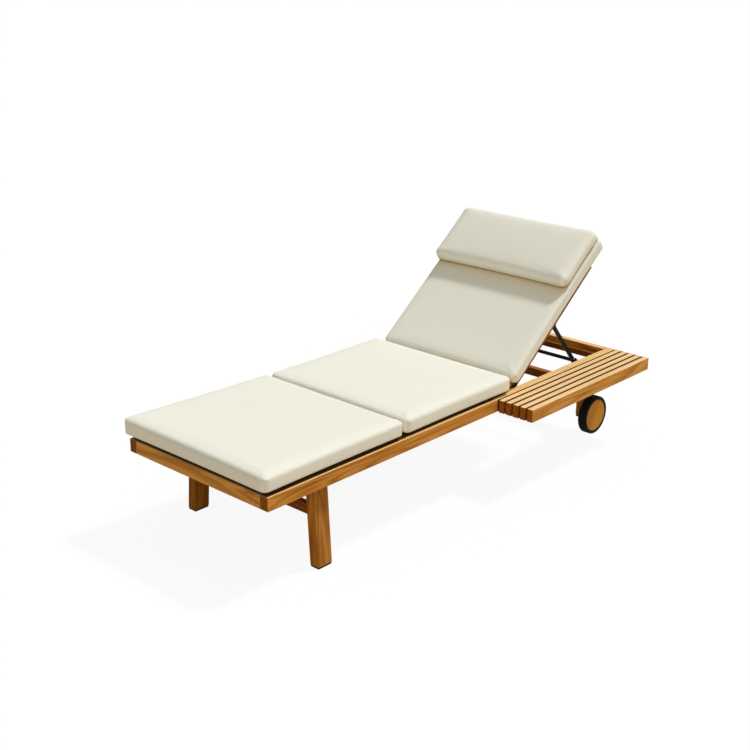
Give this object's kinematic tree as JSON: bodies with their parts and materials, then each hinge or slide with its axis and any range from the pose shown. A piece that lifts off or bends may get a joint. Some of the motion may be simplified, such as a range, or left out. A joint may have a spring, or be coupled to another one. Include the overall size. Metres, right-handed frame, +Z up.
{
  "type": "poolside chaise lounge",
  "caption": "Slatted timber lounger with a reclining back on a folding steel prop, a side shelf, loose seat cushions, a head pillow and rear wheels.",
  "frame": {"origin": "on the ground, under the middle of the overall box at rest, shelf included", "axes": "+X from the foot to the head, +Y from the shelf side to the other side, +Z up"},
  "size_m": [2.012, 0.865, 0.8957],
  "materials": {
    "teak": "oiled, satin, fine straight grain",
    "teak_under": "oiled, darker stock under the bed",
    "black_steel": "satin black powder coat",
    "tyre": "matt black rubber",
    "pads": "matt black",
    "canvas": "ivory woven outdoor canvas"
  },
  "bodies": {
    "frame": {"axles": "black_steel", "deck_cleats": "teak_under", "deck_slat_1": "teak", "deck_slat_10": "teak", "deck_slat_11": "teak", "deck_slat_2": "teak", "deck_slat_3": "teak", "deck_slat_4": "teak", "deck_slat_5": "teak", "deck_slat_6": "teak", "deck_slat_7": "teak", "deck_slat_8": "teak", "deck_slat_9": "teak", "foot_cushion": "canvas", "foot_rail": "teak", "front_bearer": "teak_under", "front_leg_far": "teak", "front_leg_near": "teak", "front_stretcher": "teak_under", "head_cleat": "teak_under", "head_rail": "teak", "hinge_pins": "black_steel", "leg_pads": "pads", "racks": "black_steel", "rear_stretcher": "teak_under", "seat_cushion": "canvas", "shelf_rods": "black_steel", "shelf_slat_1": "teak", "shelf_slat_2": "teak", "shelf_slat_3": "teak", "shelf_slat_4": "teak", "shelf_slat_5": "teak", "shelf_spacers": "teak", "side_rail_far": "teak", "side_rail_near": "teak", "wheel_leg_blocks": "teak_under", "wheel_leg_far": "teak", "wheel_leg_near": "teak"},
    "back": {"back_cushion": "canvas", "back_rail_lower": "teak", "back_rail_upper": "teak", "back_slat_1": "teak", "back_slat_2": "teak", "back_slat_3": "teak", "back_slat_4": "teak", "back_slat_5": "teak", "back_slat_6": "teak", "back_stile_far": "teak", "back_stile_near": "teak", "head_pillow": "canvas", "hinge_shoes": "black_steel", "prop_brackets": "black_steel", "prop_bolts": "black_steel"},
    "prop": {"prop_arm_near": "black_steel", "prop_arm_far": "black_steel", "prop_crossbar": "black_steel"},
    "wheel_near": {"tyre_near": "tyre", "wheel_disc_near": "teak"},
    "wheel_far": {"tyre_far": "tyre", "wheel_disc_far": "teak"}
  },
  "joints": [
    {"name": "back_hinge", "type": "hinge", "parent": "frame", "child": "back", "pos_m": [0.331, 0.0815, 0.345], "axis": [0, -1, 0], "range_deg": [-38.6, 11.4]},
    {"name": "prop_pivot", "type": "hinge", "parent": "back", "child": "prop", "pos_m": [0.61762, 0.0815, 0.53414], "axis": [0, -1, 0], "range_deg": [-26, 88]},
    {"name": "wheel_near_spin", "type": "hinge", "parent": "frame", "child": "wheel_near", "pos_m": [0.895, -0.249, 0.082], "axis": [0, 1, 0], "continuous": true},
    {"name": "wheel_far_spin", "type": "hinge", "parent": "frame", "child": "wheel_far", "pos_m": [0.895, 0.412, 0.082], "axis": [0, 1, 0], "continuous": true}
  ],
  "couplings": [
    {"joint": "prop_pivot", "follows": "back_hinge", "ratio": -2.2678}
  ]
}
